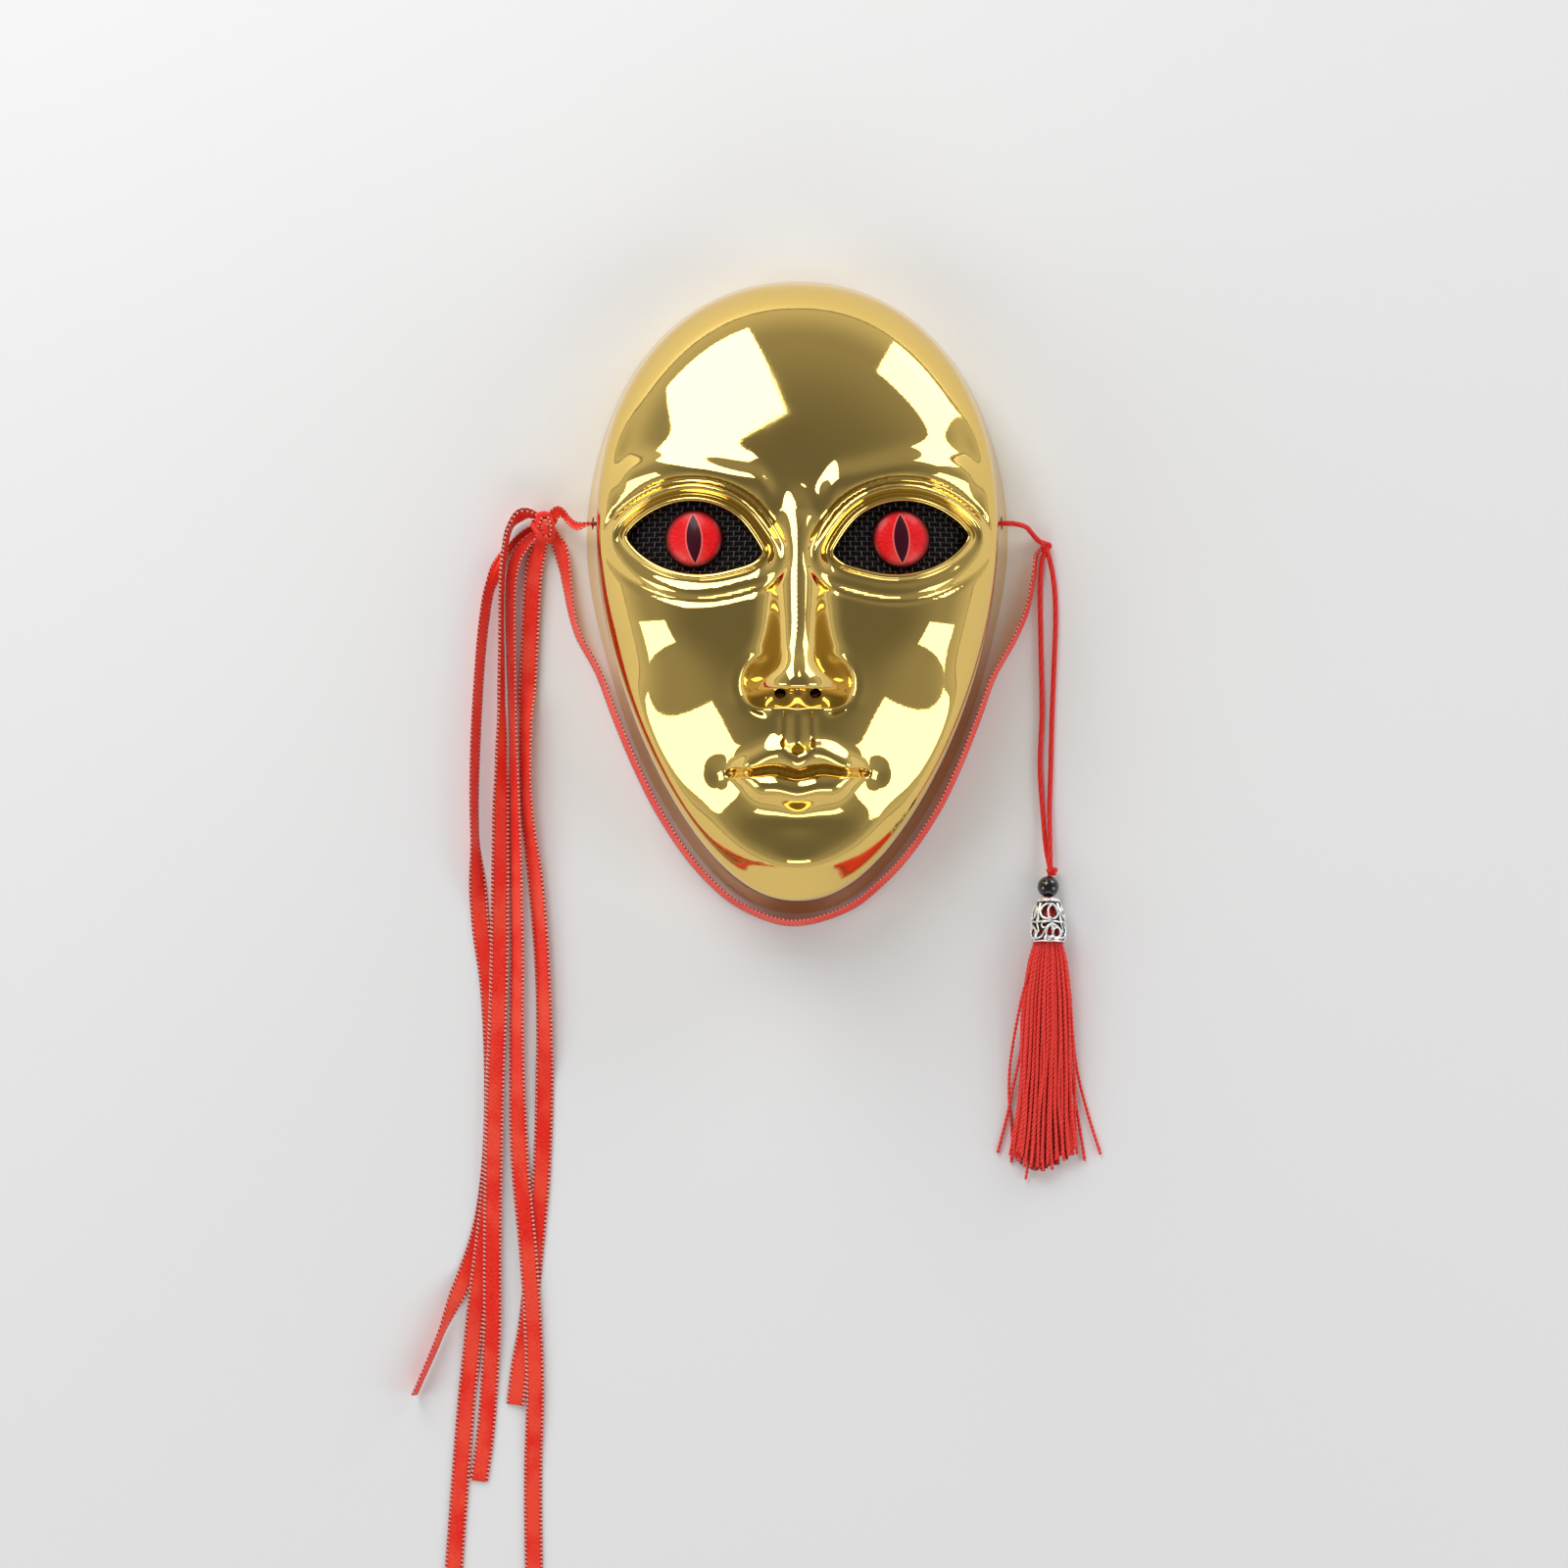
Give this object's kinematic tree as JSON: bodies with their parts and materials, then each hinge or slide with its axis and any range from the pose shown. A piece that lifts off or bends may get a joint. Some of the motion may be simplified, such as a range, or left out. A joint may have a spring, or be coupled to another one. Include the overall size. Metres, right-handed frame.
{
  "type": "kabuki-style costume mask",
  "caption": "Full-face moulded costume mask plated mirror gold, with black mesh and red slit-pupil lenses in its eyes, knotted satin ribbons at one temple and a corded tassel at the other.",
  "frame": {"origin": "middle of the footprint of the mask's flat rim, on the surface it lies on", "axes": "+Z out of the face, +Y towards the forehead, +X towards the tassel's side (the viewer's right when looking at the face)"},
  "size_m": [0.2558, 0.5442, 0.087],
  "materials": {
    "plated_shell": "vacuum plated mirror gold",
    "eye_mesh": "black woven mesh",
    "eye_lens": "clear glossy dome over red, with a dark slit",
    "ribbon": "red satin with stitched edges",
    "cord": "twisted red cord",
    "bead": "polished black",
    "cap_metal": "antiqued silver filigree",
    "tassel_thread": "twisted rayon thread"
  },
  "bodies": {
    "root": {"mask_shell": "plated_shell", "eye_mesh_left": "eye_mesh", "eye_mesh_right": "eye_mesh", "eye_lens_left": "eye_lens", "eye_lens_right": "eye_lens", "ribbon_link": "ribbon", "ribbon_knot": "ribbon", "ribbon_tail_1": "ribbon", "ribbon_tail_2": "ribbon", "ribbon_tail_3": "ribbon", "ribbon_tail_4": "ribbon", "ribbon_tail_5": "ribbon", "ribbon_chin": "ribbon", "tassel_cord": "cord", "tassel_bead": "bead", "tassel_cap": "cap_metal", "tassel_skirt": "tassel_thread"}
  },
  "joints": []
}
